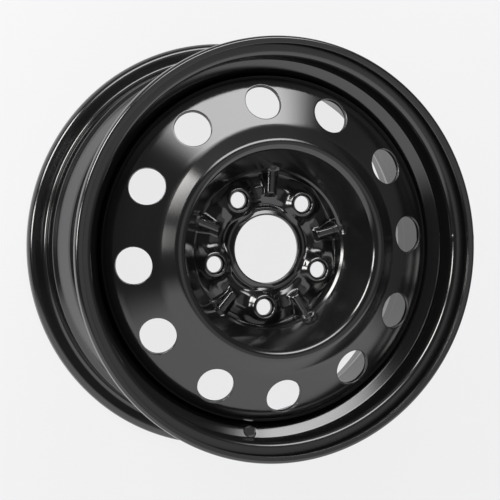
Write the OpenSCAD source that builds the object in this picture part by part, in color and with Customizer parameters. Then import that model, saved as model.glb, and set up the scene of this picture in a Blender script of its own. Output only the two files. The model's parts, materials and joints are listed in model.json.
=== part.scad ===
// Pressed steel road wheel: a rolled rim, a pressed centre disc and the weld runs that join them.
// Millimetres. The wheel axis is +Z and points to the outer (street) side of the wheel.
// z = 0 is the hub mounting face on the back of the disc.

/* [Rim] */
// Radius at the bead seats, where seat and flange meet
seat_r = 190.1; // [188.5:0.1:191.5]
// Width between the inner faces of the two flanges
rim_w = 152.4; // [148:0.1:158]
// Height of a flange above its bead seat
flange_h = 17.3; // [16.5:0.1:18.5]
// How far a flange reaches out past its inner face
flange_w = 13; // [12.5:0.1:14]
// Depth of the drop centre below the bead seats, on the tyre side
well_deep = 17.3; // [16:0.1:18.6]
// Thickness of the rolled rim sheet
rim_t = 2.4; // [2:0.1:2.8]
// Distance from the mounting face to the middle plane of the rim
offset_et = 38; // [36.5:0.1:39.5]

/* [Disc] */
// Thickness of the pressed disc
disc_t = 4; // [3.6:0.1:4.4]
// Radius of the crown, the raised ring round the hub
crown_r = 104; // [102.5:0.1:106]
// Slope of the field that carries the vent holes, in degrees
field_slope = 24; // [22.5:0.1:25]
// How far the skirt of the disc reaches behind the mounting face
skirt_back = 29.6; // [27:0.1:34]

/* [Hub] */
// Diameter of the centre bore
bore_d = 67.1; // [64:0.1:68]
// Diameter of the circle through the wheel bolts
pcd = 114.3; // [113.5:0.1:115.5]
// Diameter of a bolt hole below its seat
lug_d = 15.8; // [14.5:0.1:16.4]
// Largest diameter of the conical nut seat
seat_d = 21.5; // [20.5:0.1:22.5]
// Height of a bolt boss above the mounting face
boss_h = 16.2; // [15.4:0.1:17]
// Height of the ribs between the bosses
rib_h = 14.4; // [13.8:0.1:15.2]
// Width of the flat top of a rib
rib_w = 6; // [5:0.1:7]

/* [Holes] */
// Diameter of a vent hole
vent_d = 36; // [32:0.1:38]
// Radius of the circle through the vent holes
vent_r = 144.3; // [142.5:0.1:146]
// Angle between the two vent holes of a pair
vent_pair = 29; // [28:0.1:31]
// Diameter of the valve hole
valve_d = 11.5; // [10.5:0.1:12.2]

/* [Weld] */
// Length of the corner weld's legs
weld_leg = 3.4; // [2.6:0.1:3.5]
// Angle that one weld run covers
weld_arc = 21; // [14:0.5:28]

/* [Hidden] */
lug_n = 5;
vent_pairs = 6;
weld_n = 8;
$fn = 120;
// first bolt hole, first pair of vents and the valve hole, as angles round the axis
lug_a0 = 50.4;
vent_a0 = 19.85;
valve_a = 264.5;
// rim stations along the axis, as distances from the rim's middle plane
zc = -offset_et;
half_w = rim_w / 2;
top_r = seat_r + flange_h;
well_r = seat_r - well_deep;
lip_drop = 6.8;
seat_run = 18.2;
seat_fall = seat_run * tan(5);
wall_deg = 60;
// front wall of the drop centre starts at the front hump
hump_u = half_w - 25.3;
hump_r = seat_r - 0.3;
wall_z = zc + hump_u - (hump_r - well_r) / tan(wall_deg);
// stations behind the drop centre, as distances from the inner face of the back flange
hump_back = 22;
step_back = 26.9;
plateau_back = 50.6;
plateau_drop = 9.6;
plateau_r = seat_r - plateau_drop;
well_back = plateau_back + (plateau_r - well_r) * 1.04;
// inner face of the drop centre, where the disc is pressed in
fit_r = well_r - rim_t;
// disc stations: the field passes through the vent centres
vent_z = 29.55;
field_z = function (r) vent_z - (r - vent_r) * tan(field_slope);
shoulder_r = crown_r + 18;
shoulder_deg = 36;
bowl_deg = 60;
bowl_foot = [79.6, 16.2];
shoulder_z = field_z(shoulder_r);
// peak where the shoulder line and the bowl line would cross
crown_x = (shoulder_z - bowl_foot.y + shoulder_r * tan(shoulder_deg) + bowl_foot.x * tan(bowl_deg))
    / (tan(bowl_deg) + tan(shoulder_deg));
crown_z = bowl_foot.y + (crown_x - bowl_foot.x) * tan(bowl_deg);
pad_z = disc_t;
ring_z = 6.2 + disc_t;
lug_r = pcd / 2;
boss_top = seat_d / 2 + 2;
boss_flare = 0.64;
seat_deep = (seat_d - lug_d) / 2 / tan(30) + 0.5;
rib_in = 50;
rib_out = 81.4;
rib_tan = tan(60);
bump_z = pad_z + 5.4;
relief_z = 1;

function unit(v) = v / norm(v);
function flat(p) = [p.x, p.y];
function left(v) = [-v.y, v.x];
function wrap(a) = a > 180 ? a - 360 : (a < -180 ? a + 360 : a);

// One rounded corner at b between a and c, moved sideways by off; b carries its bend radius.
function bend(a, b, c, off) =
    let (
        u = unit(flat(a) - flat(b)),
        v = unit(flat(c) - flat(b)),
        half = acos(u * v) / 2,
        turn = sign(cross(-u, v)),
        o = flat(b) + unit(u + v) * b.z / sin(half),
        s = flat(b) + u * b.z / tan(half) - o,
        e = flat(b) + v * b.z / tan(half) - o,
        a0 = atan2(s.y, s.x),
        sweep = wrap(atan2(e.y, e.x) - a0),
        n = max(2, ceil(abs(sweep) / 13)),
        r2 = b.z - turn * off
    )
    [for (i = [0:n]) o + r2 * [cos(a0 + sweep * i / n), sin(a0 + sweep * i / n)]];

// A whole run of lines and bends, moved sideways by off from its corners.
function run(p, off) =
    let (
        m = len(p) - 1,
        d0 = unit(flat(p[1]) - flat(p[0])),
        d1 = unit(flat(p[m]) - flat(p[m - 1]))
    )
    concat(
        [flat(p[0]) + off * left(d0)],
        [for (i = [1:m - 1]) for (q = bend(p[i - 1], p[i], p[i + 1], off)) q],
        [flat(p[m]) + off * left(d1)]
    );

function back(p) = [for (i = [len(p) - 1:-1:0]) p[i]];

// Corners of the rim on its tyre side, from the front lip to the back lip.
rim_path = [
    [top_r - lip_drop, zc + half_w + flange_w, 0],
    [top_r, zc + half_w + flange_w, 3.5],
    [top_r, zc + half_w, 9.2],
    [seat_r, zc + half_w, 6.5],
    [seat_r - seat_fall, zc + half_w - seat_run, 5],
    [hump_r, zc + hump_u, 5],
    [well_r, wall_z, 11.6],
    [well_r, zc - half_w + well_back, 10],
    [plateau_r, zc - half_w + plateau_back, 8],
    [seat_r - 5.1, zc - half_w + step_back, 5],
    [seat_r - 0.1, zc - half_w + hump_back, 4],
    [seat_r - seat_fall, zc - half_w + seat_run, 3],
    [seat_r, zc - half_w, 6.5],
    [top_r, zc - half_w, 9.2],
    [top_r, zc - half_w - flange_w, 3.5],
    [top_r - lip_drop, zc - half_w - flange_w, 0]
];

// Corners of the disc's front face, from the skirt's end to the foot of the bowl.
disc_path = [
    [fit_r, -skirt_back, 0],
    [fit_r, field_z(fit_r), 10],
    [shoulder_r, shoulder_z, 30],
    [crown_x, crown_z, 8],
    [bowl_foot.x, bowl_foot.y, 0]
];

// Front face of the hub, from the bowl's foot to the bore.
hub_front = [
    [77.2, 13.9],
    [75.6, pad_z + 1.2],
    [74.4, pad_z],
    [71.8, pad_z],
    [59.5, ring_z - 0.2],
    [57, ring_z + 0.2],
    [54.4, ring_z - 0.2],
    [46, pad_z + 1.4],
    [43.6, pad_z + 1.2],
    [41.6, pad_z + 4],
    [40.6, pad_z + 4.5],
    [38.2, pad_z + 4.8],
    [bore_d / 2 + 1.2, pad_z + 6.5],
    [bore_d / 2, pad_z + 6.1]
];

// Back face of the hub, from the bore to the back of the bowl.
hub_back = [
    [bore_d / 2, 6],
    [bore_d / 2 + 0.9, 3],
    [37, 1],
    [44.8, 1],
    [54.4, ring_z - disc_t - 0.3],
    [57, ring_z - disc_t],
    [59.5, ring_z - disc_t - 0.3],
    [70.6, 0],
    [77.4, 0],
    [79.2, 7.4]
];

// Middle of the hub's sheet, from the bore's lip out to the foot of the bowl.
hub_mid = [
    [bore_d / 2 + 2, 8],
    [37, 3],
    [44.8, 3],
    [54.4, ring_z - 2.2],
    [57, ring_z - 2],
    [59.5, ring_z - 2.2],
    [70.6, 2],
    [76.4, 2],
    [78.2, 9],
    [rib_out + 1.4, 16.4]
];

// A prism along the radius: side is its outline in r and z, half is its half width at height top.
module radial(side, half, top, low) {
    intersection() {
        rotate([90, 0, 0])
            linear_extrude(height = 60, center = true)
                polygon(side);
        rotate([90, 0, 90])
            linear_extrude(height = 100)
                polygon([
                    [-half, top],
                    [half, top],
                    [half + (top - low) / rib_tan, low],
                    [-half - (top - low) / rib_tan, low]
                ]);
    }
}

module at_each(n, a0) {
    for (i = [0:n - 1])
        rotate([0, 0, a0 + i * 360 / n])
            children();
}

module rim() {
    color([0.03, 0.03, 0.035])
        difference() {
            rotate_extrude()
                polygon(concat(run(rim_path, 0), back(run(rim_path, -rim_t))));
            valve_cut();
        }
}

// Valve hole, square to the front wall of the drop centre, with a broken edge on the outer side.
module valve_cut() {
    mid_r = fit_r + 11.2;
    mid_z = wall_z + (mid_r - well_r) / tan(wall_deg) + rim_t / 2 / sin(wall_deg);
    rotate([0, 0, valve_a])
        translate([mid_r, 0, mid_z])
            rotate([0, wall_deg - 90, 0]) {
                cylinder(h = 16, d = valve_d, center = true);
                translate([0, 0, rim_t / 2 - 0.3])
                    cylinder(h = 2, d1 = valve_d, d2 = valve_d + 4);
            }
}

module disc() {
    color([0.03, 0.03, 0.035])
        difference() {
            union() {
                disc_sheet();
                intersection() {
                    hub_relief();
                    sheet_front();
                }
            }
            hub_cuts();
            vent_cuts();
        }
}

// Bosses, ribs and small bumps, each begun well below the face that it rises from.
module hub_relief() {
    at_each(lug_n, lug_a0)
        translate([lug_r, 0, relief_z])
            cylinder(h = boss_h - relief_z,
                r1 = boss_top + (boss_h - relief_z) * boss_flare, r2 = boss_top);
    at_each(lug_n, lug_a0 + 36)
        radial([[rib_in, relief_z], [rib_in + 6, rib_h + 1],
            [rib_out + 2, rib_h + 1], [rib_out + 2, relief_z]],
            rib_w / 2 - 1 / rib_tan, rib_h + 1, relief_z);
    at_each(lug_n, lug_a0)
        radial([[66, relief_z], [68, bump_z], [79, bump_z], [79, relief_z]], 2.4, bump_z, relief_z);
}

// All that lies in front of the middle of the hub's sheet.
module sheet_front() {
    rotate_extrude()
        polygon(concat(hub_mid, [[rib_out + 4, 40], [hub_mid[0].x, 40]]));
}

module disc_sheet() {
    rotate_extrude()
        polygon(concat(
            run(disc_path, 0), hub_front, hub_back, back(run(disc_path, disc_t))
        ));
}

module hub_cuts() {
    at_each(lug_n, lug_a0)
        translate([lug_r, 0, 0]) {
            translate([0, 0, -1])
                cylinder(h = 30, d = lug_d);
            // nut seat, begun inside the hole so that the two cross cleanly
            translate([0, 0, boss_h - seat_deep])
                cylinder(h = seat_deep + 0.6, d1 = seat_d - 2 * seat_deep * tan(30),
                    d2 = seat_d + 1.2 * tan(30));
            // hollow back of the boss
            translate([0, 0, -1])
                cylinder(h = boss_h - 6, r1 = 15.9, r2 = 11.4);
        }
    // hollow backs of the ribs
    at_each(lug_n, lug_a0 + 36)
        radial([[rib_in + 7, -1], [rib_in + 7, 2], [rib_in + 11, rib_h - disc_t],
            [rib_out + 3, rib_h - disc_t], [rib_out + 3, -1]],
            max(0.6, rib_w / 2 - 1.9), rib_h - disc_t, -1);
    // one flat plane tops each rib and runs a little way into the foot of the bowl
    at_each(lug_n, lug_a0 + 36)
        translate([rib_in, -rib_w / 2 - 1, rib_h])
            cube([rib_out - rib_in, rib_w + 2, 9]);
}

// Twelve round vents in six pairs, each punched square to the field.
module vent_cuts() {
    at_each(vent_pairs, vent_a0)
        for (s = [-1, 1])
            rotate([0, 0, s * vent_pair / 2])
                translate([vent_r, 0, vent_z])
                    rotate([0, field_slope, 0])
                        cylinder(h = 30, d = vent_d, center = true);
}

// One run of corner weld between the end of the skirt and the rim.
module weld(i) {
    color([0.05, 0.05, 0.055])
        rotate([0, 0, i * 360 / weld_n - weld_arc / 2])
            rotate_extrude(angle = weld_arc)
                polygon([
                    [fit_r, -skirt_back],
                    [fit_r - weld_leg, -skirt_back],
                    [fit_r - weld_leg * 0.8, -skirt_back - weld_leg * 0.5],
                    [fit_r - weld_leg * 0.5, -skirt_back - weld_leg * 0.85],
                    [fit_r, -skirt_back - weld_leg * 1.15]
                ]);
}

rim();
disc();
for (i = [1:weld_n])
    weld(i);
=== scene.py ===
"""A pressed steel road wheel that lies on its back flange, with its finish, floor, lights and camera.

The wheel's sizes are given in millimetres and turned into the scene's metres with MM.
Its axis is +Z, and z = 0 is the hub mounting face on the back of the disc.
"""

import json
import logging
import math
from dataclasses import dataclass, field
from enum import Enum
from typing import Callable, Sequence

import bpy
import numpy as np
from mathutils import Matrix, Quaternion, Vector


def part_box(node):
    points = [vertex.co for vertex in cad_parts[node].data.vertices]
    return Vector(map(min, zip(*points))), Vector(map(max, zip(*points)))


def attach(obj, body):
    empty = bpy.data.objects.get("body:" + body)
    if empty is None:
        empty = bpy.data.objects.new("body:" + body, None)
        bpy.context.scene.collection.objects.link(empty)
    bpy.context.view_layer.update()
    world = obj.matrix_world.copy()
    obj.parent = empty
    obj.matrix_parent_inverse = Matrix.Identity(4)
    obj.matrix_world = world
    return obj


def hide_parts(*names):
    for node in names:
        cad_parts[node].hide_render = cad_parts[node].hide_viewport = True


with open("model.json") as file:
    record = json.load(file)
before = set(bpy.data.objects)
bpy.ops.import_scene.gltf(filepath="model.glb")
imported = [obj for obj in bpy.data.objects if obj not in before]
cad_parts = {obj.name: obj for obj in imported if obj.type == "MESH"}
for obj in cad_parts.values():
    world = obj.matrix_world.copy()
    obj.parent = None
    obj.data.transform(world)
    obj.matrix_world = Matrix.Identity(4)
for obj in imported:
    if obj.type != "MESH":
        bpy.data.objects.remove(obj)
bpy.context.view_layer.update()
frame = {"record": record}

MM = 0.001
BODY = "root"
log = logging.getLogger("steel_wheel")

# Bends below this radius and turns below this angle are left sharp, in millimetres and radians.
SHARP_BEND = 0.05
STRAIGHT_ANGLE = 0.004
# Largest share of a straight run that one bend may take up.
HALF_RUN = 0.49
# Rows of points closer than this are made one, in millimetres.
CLOSEST_ROWS = 0.03
# A height below every part of the hub's front, in millimetres.
FAR_BELOW = -40.0
# How a cut edge is rounded: share of the way through the sheet, and share of the full bulge.
EDGE_ROUND = ((0.06, 0.55), (0.25, 0.95), (0.75, 0.95), (0.94, 0.55))

Array = np.ndarray
Point2 = tuple[float, float]


def mount_value(name: str, key: str) -> float:
    """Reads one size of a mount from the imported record.

    Args:
        name: The mount's name.
        key: The size's name in the mount's dims.

    Returns:
        The size in millimetres.
    """
    mounts = {m["name"]: m for m in frame["record"]["mounts"]}
    return float(mounts[name]["dims"][key])


def smooth_max(a: Array, b: Array | float, blend: float) -> Array:
    """The larger of two heights, with a round hollow of about the width blend where they meet.

    Args:
        a: First height.
        b: Second height.
        blend: Width of the blend, in the heights' own unit.

    Returns:
        The blended height.
    """
    h = np.clip(0.5 + 0.5 * (a - b) / blend, 0.0, 1.0)
    return b + (a - b) * h + blend * h * (1.0 - h)


def smooth_min(a: Array, b: Array | float, blend: float) -> Array:
    """The smaller of two heights, rounded over the width blend where they meet.

    Args:
        a: First height.
        b: Second height.
        blend: Width of the blend, in the heights' own unit.

    Returns:
        The blended height.
    """
    return -smooth_max(-a, -b, blend)


def turn_gap(angle: Array, at: float) -> Array:
    """Signed angle from one direction to others, in degrees from -180 to 180.

    Args:
        angle: Directions in degrees.
        at: The direction to measure from, in degrees.

    Returns:
        The signed angles.
    """
    return (np.asarray(angle) - at + 180.0) % 360.0 - 180.0


@dataclass(frozen=True)
class Corner:
    """A corner of a sheet's section: radius from the axis, height, and the bend radius."""

    r: float
    z: float
    bend: float = 0.0

    def at(self) -> Array:
        """The corner's place in the section."""
        return np.array([self.r, self.z])


class Section:
    """A run of straight lines and round bends in the (r, z) plane, measured by its length s.

    Args:
        corners: The run's corners, each with its bend radius.
        side: 1 if the outer face lies to the left of the run, -1 if to the right.
    """

    def __init__(self, corners: Sequence[Corner], side: int) -> None:
        """Splits the run into lines and arcs."""
        self.side = side
        self.lines: list[tuple[Array, Array]] = []
        self.parts: list[dict] = []
        self.ends = [0.0]
        here = corners[0].at()
        for before, at, after in zip(corners, corners[1:], corners[2:]):
            u = self._unit(before.at() - at.at())
            v = self._unit(after.at() - at.at())
            half = math.acos(float(np.clip(u @ v, -1.0, 1.0))) / 2.0
            room = HALF_RUN * min(np.linalg.norm(before.at() - at.at()), np.linalg.norm(after.at() - at.at()))
            bend = min(at.bend, room * math.tan(half))
            if bend < SHARP_BEND or half > math.pi / 2 - STRAIGHT_ANGLE:
                self._line(here, at.at())
                here = at.at()
                continue
            reach = bend / math.tan(half)
            start, stop = at.at() + u * reach, at.at() + v * reach
            self._line(here, start)
            self._arc(start, stop, at.at() + self._unit(u + v) * bend / math.sin(half), bend)
            here = stop
        self._line(here, corners[-1].at())

    @staticmethod
    def _unit(v: Array) -> Array:
        """A direction of length one."""
        return v / np.linalg.norm(v)

    def _line(self, a: Array, b: Array) -> None:
        """Adds a straight stretch from a to b.

        Args:
            a: Where it starts.
            b: Where it ends.
        """
        length = float(np.linalg.norm(b - a))
        if length > 1e-6:
            self.parts.append({"kind": "line", "a": a, "d": (b - a) / length, "length": length})
            self.ends.append(self.ends[-1] + length)

    def _arc(self, a: Array, b: Array, centre: Array, radius: float) -> None:
        """Adds a bend from a to b round a centre.

        Args:
            a: Where it starts.
            b: Where it ends.
            centre: The centre of the bend.
            radius: The radius of the bend.
        """
        first = math.atan2(*(a - centre)[::-1])
        sweep = (math.atan2(*(b - centre)[::-1]) - first + math.pi) % (2 * math.pi) - math.pi
        length = abs(sweep) * radius
        self.parts.append({"kind": "arc", "centre": centre, "radius": radius, "first": first,
                           "sweep": sweep, "length": length})
        self.ends.append(self.ends[-1] + length)

    @property
    def length(self) -> float:
        """Whole length of the run."""
        return self.ends[-1]

    def at(self, s: Array) -> tuple[Array, Array, Array, Array]:
        """Places and outward directions along the run.

        Args:
            s: Distances along the run.

        Returns:
            Radius, height, and the outward normal's two parts, as arrays like s.
        """
        s = np.clip(np.asarray(s, float), 0.0, self.length)
        r, z, nr, nz = (np.zeros_like(s) for _ in range(4))
        which = np.clip(np.searchsorted(self.ends, s, side="right") - 1, 0, len(self.parts) - 1)
        for i, part in enumerate(self.parts):
            m = which == i
            t = s[m] - self.ends[i]
            if part["kind"] == "line":
                d = part["d"]
                r[m], z[m] = part["a"][0] + d[0] * t, part["a"][1] + d[1] * t
                nr[m], nz[m] = -d[1] * self.side, d[0] * self.side
            else:
                turn = math.copysign(1.0, part["sweep"])
                a = part["first"] + turn * t / part["radius"]
                r[m] = part["centre"][0] + part["radius"] * np.cos(a)
                z[m] = part["centre"][1] + part["radius"] * np.sin(a)
                nr[m], nz[m] = -np.cos(a) * turn * self.side, -np.sin(a) * turn * self.side
        return r, z, nr, nz

    def stations(self, line_step: float, arc_step: float, margin: float = 0.5,
                 extra: Sequence[float] = ()) -> Array:
        """Distances at which the sheet gets a row of points.

        Args:
            line_step: Longest step.
            arc_step: Largest turn between rows of a bend, in degrees.
            margin: Distance from a bend at which a straight stretch gets a row of its own.
            extra: Further rows.

        Returns:
            Rising distances, with both ends.
        """
        out = [0.0]
        for start, part in zip(self.ends, self.parts):
            if part["kind"] == "arc":
                n = max(2, math.ceil(abs(math.degrees(part["sweep"])) / arc_step))
                n = max(n, math.ceil(part["length"] / line_step))
                out += [start + part["length"] * k / n for k in range(1, n + 1)]
                continue
            length = part["length"]
            inner = [margin, length - margin] if length > 3 * margin else [0.0, length]
            n = max(1, math.ceil((inner[1] - inner[0]) / line_step))
            out += [start + inner[0] + (inner[1] - inner[0]) * k / n for k in range(n + 1)]
            out.append(start + length)
        out = sorted([*out, *extra])
        keep = [out[0]]
        for s in out[1:]:
            if s - keep[-1] > CLOSEST_ROWS:
                keep.append(s)
        return np.array(keep)

    def where(self, r: Array, low: float, high: float) -> Array:
        """Distances along the run at which it has given radii.

        Args:
            r: The radii.
            low: Start of the stretch to look in, where the radius only rises or only falls.
            high: End of that stretch.

        Returns:
            The distances.
        """
        s = np.linspace(low, high, 4000)
        rs = self.at(s)[0]
        if rs[0] > rs[-1]:
            s, rs = s[::-1], rs[::-1]
        return np.interp(r, rs, s)


@dataclass(frozen=True)
class Hole:
    """A round hole in a sheet, with the block of the sheet's grid that is remade round it.

    Args:
        s: Place of its centre along the section.
        angle: Place of its centre round the axis, in degrees.
        radius: Radius of the hole.
        rings: Distance from the edge and depth below the face of each ring of points.
        reach: How far the block goes from the centre along the section.
        spread: How far the block goes from the centre round the axis, in degrees.
        lean: Share of a step along the section that changes the radius.
        s_of_r: Gives the place along the section of each radius.
        blend_rings: How many rings lead from the round ones to the block's edge.
    """

    s: float
    angle: float
    radius: float
    rings: tuple[Point2, ...]
    reach: float
    spread: float
    lean: float
    s_of_r: Callable[[Array], Array]
    blend_rings: int


class Sheet:
    """A closed sheet of metal turned round the axis, with round holes cut in it.

    Args:
        name: The piece's name.
        stations: Places along the section of the rows of points.
        angles: Angles of the columns of points, in degrees, rising and under 360.
        face: Gives the outer face's points for (s, angle).
        back: Gives the inner face's points for (s, angle).
        holes: The round holes.
        roll_back: Rolls the holes' edges on the back instead of the face.
    """

    def __init__(self, name: str, stations: Array, angles: Array,
                 face: Callable[[Array, Array], Array], back: Callable[[Array, Array], Array],
                 holes: Sequence[Hole], roll_back: bool = False) -> None:
        """Lays the grid out and remakes it round the holes."""
        self.name, self.stations, self.angles, self.roll_back = name, stations, angles, roll_back
        self.face, self.back = face, back
        rows, cols = len(stations), len(angles)
        self.s = list(np.repeat(stations, cols))
        self.a = list(np.tile(angles, rows))
        self.depth = [0.0] * (rows * cols)
        self.grid = np.arange(rows * cols).reshape(rows, cols)
        self.quads: list[Array] = []
        self.edges: list[Array] = [self.grid[0], self.grid[-1][::-1]]
        covered = np.zeros((rows - 1, cols), bool)
        for hole in holes:
            self._cut(hole, covered)
        near, far = self.grid, np.roll(self.grid, -1, axis=1)
        cells = np.stack([near[:-1], far[:-1], far[1:], near[1:]], axis=2)
        self.quads.append(cells[~covered])

    def _cut(self, hole: Hole, covered: Array) -> None:
        """Takes a block out of the grid and fills it with rings round a hole.

        Args:
            hole: The hole to cut.
            covered: Marks the grid's cells that are filled otherwise.
        """
        rows = np.nonzero(np.abs(self.stations - hole.s) <= hole.reach)[0]
        gaps = turn_gap(self.angles, hole.angle)
        cols = np.nonzero(np.abs(gaps) <= hole.spread)[0]
        cols = cols[np.argsort(gaps[cols])]
        covered[rows[0]:rows[-1], cols[:-1]] = True
        rim = [self.grid[rows[0], j] for j in cols[:-1]]
        rim += [self.grid[i, cols[-1]] for i in rows[:-1]]
        rim += [self.grid[rows[-1], j] for j in cols[:0:-1]]
        rim += [self.grid[i, cols[0]] for i in rows[:0:-1]]
        bs = np.array([self.s[v] for v in rim])
        ba = hole.angle + turn_gap([self.a[v] for v in rim], hole.angle)
        r_mid = self._radius(hole.s)
        phi = np.arctan2(r_mid * np.radians(ba - hole.angle), bs - hole.s)
        rings = [self._ring(hole, phi, hole.radius + out, depth) for out, depth in hole.rings]
        ls = np.array([self.s[v] for v in rings[-1]])
        la = np.array([self.a[v] for v in rings[-1]])
        for k in range(1, hole.blend_rings + 1):
            t = k / (hole.blend_rings + 1)
            rings.append(self._add(ls + (bs - ls) * t, la + (ba - la) * t, 0.0))
        rings.append(rim)
        for inner, outer in zip(rings, rings[1:]):
            self.quads.append(self._band(np.array(inner), np.array(outer)))
        self.edges.append(np.array(rings[0]))

    @staticmethod
    def _band(one: Array, two: Array) -> Array:
        """Quads between two rings of equally many points."""
        return np.stack([np.roll(one, -1), one, two, np.roll(two, -1)], axis=1)

    def _radius(self, s: float) -> float:
        """Distance from the axis at one place along the section."""
        return float(np.hypot(*self.face(np.array([s]), np.array([0.0]))[0, :2]))

    def _ring(self, hole: Hole, phi: Array, radius: float, depth: float) -> list[int]:
        """Adds one ring of points round a hole.

        Args:
            hole: The hole.
            phi: Direction of each point from the centre.
            radius: The ring's radius.
            depth: How far the ring lies below the face.

        Returns:
            The points' numbers.
        """
        along = self._radius(hole.s) + radius * np.cos(phi) * hole.lean
        across = radius * np.sin(phi)
        s = hole.s_of_r(np.hypot(along, across))
        return self._add(s, hole.angle + np.degrees(np.arctan2(across, along)), depth)

    def _add(self, s: Array, a: Array, depth: float) -> list[int]:
        """Adds points by their place in the sheet.

        Args:
            s: Their places along the section.
            a: Their angles.
            depth: How far they lie below the face.

        Returns:
            The points' numbers.
        """
        first = len(self.s)
        self.s += list(s)
        self.a += list(a)
        self.depth += [depth] * len(s)
        return list(range(first, first + len(s)))

    def build(self, edge_round: float) -> bpy.types.Object:
        """Makes the closed mesh: both faces, and a rounded wall along every edge.

        Args:
            edge_round: How far an edge's middle stands proud of its corners, in millimetres.

        Returns:
            The finished object.
        """
        s, a, depth = (np.array(v, float) for v in (self.s, self.a, self.depth))
        outer, inner = self.face(s, a), self.back(s, a)
        through = inner - outer
        through /= np.maximum(np.linalg.norm(through, axis=1), 1e-9)[:, None]
        if self.roll_back:
            inner = inner - through * depth[:, None]
        else:
            outer = outer + through * depth[:, None]
        n = len(s)
        points = [outer, inner]
        faces = self.quads + [q[:, ::-1] + n for q in self.quads]
        count = 2 * n
        for e in self.edges:
            middle = (outer[e] + inner[e]) / 2.0
            tangent = np.roll(middle, -1, axis=0) - np.roll(middle, 1, axis=0)
            out = np.cross(tangent, through[e])
            out /= np.maximum(np.linalg.norm(out, axis=1), 1e-9)[:, None]
            levels = [e]
            for t, bulge in EDGE_ROUND:
                points.append(outer[e] * (1 - t) + inner[e] * t + out * bulge * edge_round)
                levels.append(np.arange(count, count + len(e)))
                count += len(e)
            levels.append(e + n)
            faces += [self._band(upper, lower) for upper, lower in zip(levels, levels[1:])]
        return make_object(self.name, np.concatenate(points) * MM, np.concatenate(faces))


def make_object(name: str, points: Array, faces: Array) -> bpy.types.Object:
    """Makes a smooth mesh object whose faces point outwards.

    Args:
        name: The object's name.
        points: Its points, in metres.
        faces: Its four-sided faces, all turned the same way.

    Returns:
        The object, linked to the scene.
    """
    a, b, c, d = (points[faces[:, k]] for k in range(4))
    volume = np.einsum("ij,ij->", a, np.cross(b, c) + np.cross(c, d))
    if volume < 0:
        faces = faces[:, ::-1]
    mesh = bpy.data.meshes.new(name)
    mesh.from_pydata(points, [], faces)
    mesh.update()
    mesh.polygons.foreach_set("use_smooth", [True] * len(mesh.polygons))
    obj = bpy.data.objects.new(name, mesh)
    bpy.context.scene.collection.objects.link(obj)
    return obj


def polar_points(r: Array, z: Array, angle: Array) -> Array:
    """Points in space from radius, height and angle in degrees."""
    a = np.radians(angle)
    return np.stack([r * np.cos(a), r * np.sin(a), z], axis=1)


class Nodes:
    """A short way to write a node tree.

    Args:
        tree: The tree to add nodes to.
    """

    def __init__(self, tree: bpy.types.NodeTree) -> None:
        """Keeps the tree."""
        self.tree = tree

    def add(self, kind: str, values: dict | None = None, **settings: object) -> bpy.types.Node:
        """Adds a node.

        Args:
            kind: The node's type.
            values: Input sockets to set, by name or number; a socket is linked, a value is set.
            settings: Properties of the node.

        Returns:
            The node.
        """
        node = self.tree.nodes.new(kind)
        for key, setting in settings.items():
            setattr(node, key, setting)
        for key, value in (values or {}).items():
            if isinstance(value, bpy.types.NodeSocket):
                self.tree.links.new(value, node.inputs[key])
            else:
                node.inputs[key].default_value = value
        return node

    def math(self, operation: str, a: object, b: object = 0.0, c: object = 0.0,
             clamp: bool = False) -> bpy.types.NodeSocket:
        """Adds a math node and returns its result.

        Args:
            operation: The operation's name.
            a: First value or socket.
            b: Second value or socket.
            c: Third value or socket.
            clamp: Keeps the result between 0 and 1.

        Returns:
            The result's socket.
        """
        node = self.add("ShaderNodeMath", {0: a, 1: b, 2: c}, operation=operation, use_clamp=clamp)
        return node.outputs[0]

    def ramp(self, value: object, start: float, stop: float, low: float, high: float,
             kind: str = "LINEAR") -> bpy.types.NodeSocket:
        """Adds a map range node and returns its result.

        Args:
            value: The value or socket to map.
            start: Value at which the result is low.
            stop: Value at which the result is high.
            low: Result at the start.
            high: Result at the stop.
            kind: Way from one to the other.

        Returns:
            The result's socket.
        """
        node = self.add("ShaderNodeMapRange", {0: value, 1: start, 2: stop, 3: low, 4: high},
                        interpolation_type=kind)
        return node.outputs[0]

    def noise(self, vector: bpy.types.NodeSocket, scale: object, detail: float) -> bpy.types.NodeSocket:
        """Adds a noise texture and returns its value."""
        node = self.add("ShaderNodeTexNoise", {"Vector": vector, "Scale": scale, "Detail": detail})
        return node.outputs[0]

    def round_axis(self, vector: bpy.types.NodeSocket) -> tuple[bpy.types.NodeSocket, ...]:
        """Measures a place from the Z axis.

        Args:
            vector: The place.

        Returns:
            The distance, the height and the angle.
        """
        x, y, z = self.add("ShaderNodeSeparateXYZ", {0: vector}).outputs
        radius = self.math("SQRT", self.math("ADD", self.math("MULTIPLY", x, x), self.math("MULTIPLY", y, y)))
        return radius, z, self.math("ARCTAN2", y, x)

    def end(self, kind: str, socket: bpy.types.NodeSocket) -> None:
        """Adds the tree's output node and links a socket to it."""
        self.tree.links.new(socket, self.add(kind).inputs[0])

    def give(self, **results: bpy.types.NodeSocket) -> bpy.types.NodeTree:
        """Links a group's results to its output sockets.

        Args:
            results: A socket for each output.

        Returns:
            The group.
        """
        end = self.add("NodeGroupOutput")
        for name, socket in results.items():
            self.tree.links.new(socket, end.inputs[name])
        return self.tree


def empty_tree(block: object) -> Nodes:
    """Empties the node tree of a material, a world or a light.

    Args:
        block: The material, world or light.

    Returns:
        The tree's writer.
    """
    block.use_nodes = True
    block.node_tree.nodes.clear()
    return Nodes(block.node_tree)


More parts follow.
